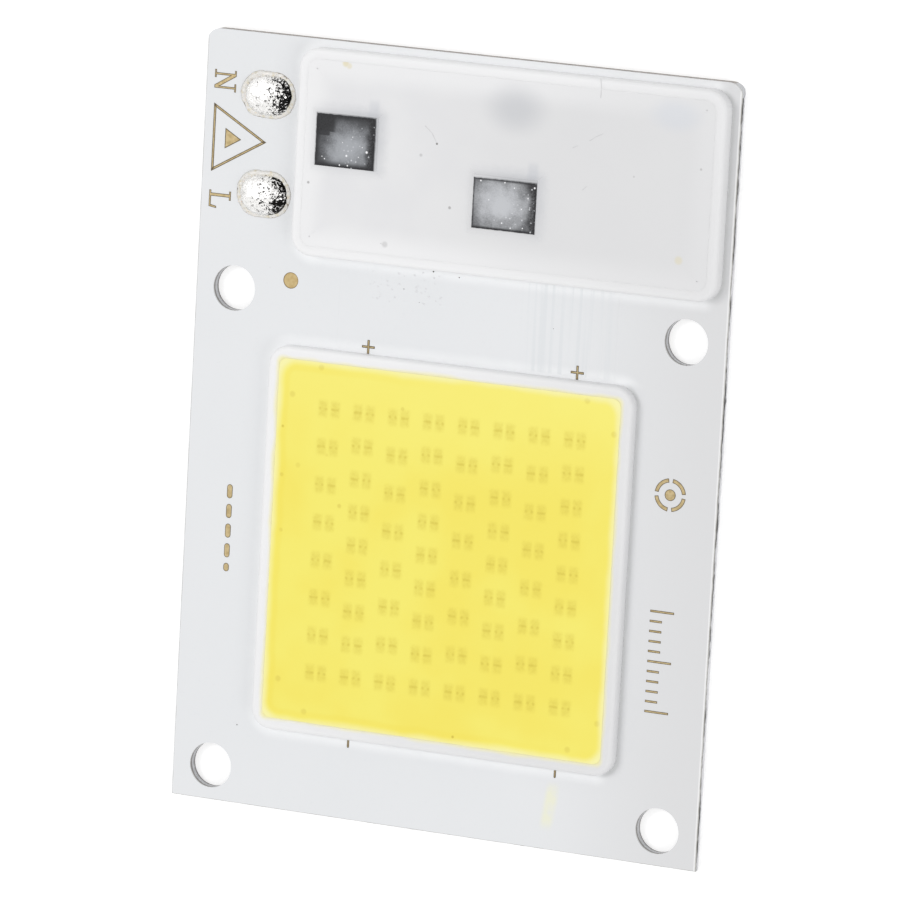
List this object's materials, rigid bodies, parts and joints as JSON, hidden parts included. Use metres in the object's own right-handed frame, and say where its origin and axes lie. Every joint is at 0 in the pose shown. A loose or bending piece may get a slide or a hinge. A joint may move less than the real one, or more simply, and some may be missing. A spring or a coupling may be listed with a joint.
{
  "type": "chip-on-board led module with integral driver",
  "caption": "Flat rectangular aluminium board with a yellow chip-on-board LED field in a white dam, a potted driver section at one end and two solder terminals beside it.",
  "frame": {"origin": "centre of the board's back face, on the surface that the module is fixed to", "axes": "+Z is the way the light goes, +Y along the board towards the driver end, +X across the board towards the side away from the terminals"},
  "size_m": [0.04, 0.0544, 0.0022],
  "materials": {
    "aluminium_base": "rolled, with snapped edges",
    "dielectric": "matte",
    "copper_foil": "etched foil",
    "gilt_copper": "bare, dull gold",
    "white_mask": "satin white, faintly blue",
    "solder": "bright and pitted",
    "dam_silicone": "white, smooth",
    "potting_silicone": "white, smooth",
    "phosphor_silicone": "yellow, smooth",
    "led_die": "sapphire",
    "bond_wire": "gold",
    "chip_epoxy": "black, glossy",
    "tinned_lead": "tinned",
    "resistor_ceramic": "matte"
  },
  "bodies": {
    "root": {"base_plate": "aluminium_base", "dielectric_layer": "dielectric", "copper_neutral": "copper_foil", "copper_line": "copper_foil", "copper_supply": "copper_foil", "copper_fused_supply": "copper_foil", "copper_string_end": "copper_foil", "copper_tap": "copper_foil", "copper_ground": "copper_foil", "copper_sense_1": "copper_foil", "copper_sense_2": "copper_foil", "copper_links": "copper_foil", "copper_spare_lands": "copper_foil", "copper_fiducial": "gilt_copper", "copper_alignment_dots": "gilt_copper", "solder_mask": "white_mask", "solder_joint_neutral": "solder", "solder_joint_line": "solder", "led_dam": "dam_silicone", "phosphor_fill": "phosphor_silicone", "led_column_1": "led_die", "led_column_2": "led_die", "led_column_3": "led_die", "led_column_4": "led_die", "led_column_5": "led_die", "led_column_6": "led_die", "led_column_7": "led_die", "led_column_8": "led_die", "bond_wires_1": "bond_wire", "bond_wires_2": "bond_wire", "bond_wires_3": "bond_wire", "bond_wires_4": "bond_wire", "bond_wires_5": "bond_wire", "bond_wires_6": "bond_wire", "bond_wires_7": "bond_wire", "bond_wires_8": "bond_wire", "driver_dam": "dam_silicone", "driver_potting": "potting_silicone", "driver_ic_1_body": "chip_epoxy", "driver_ic_1_leads": "tinned_lead", "driver_ic_1_slug": "tinned_lead", "driver_ic_2_body": "chip_epoxy", "driver_ic_2_leads": "tinned_lead", "driver_ic_2_slug": "tinned_lead", "bridge_rectifier_body": "chip_epoxy", "bridge_rectifier_leads": "tinned_lead", "fuse_resistor_body": "resistor_ceramic", "fuse_resistor_ends": "tinned_lead", "sense_resistor_1_body": "resistor_ceramic", "sense_resistor_1_ends": "tinned_lead", "sense_resistor_2_body": "resistor_ceramic", "sense_resistor_2_ends": "tinned_lead"}
  },
  "joints": []
}
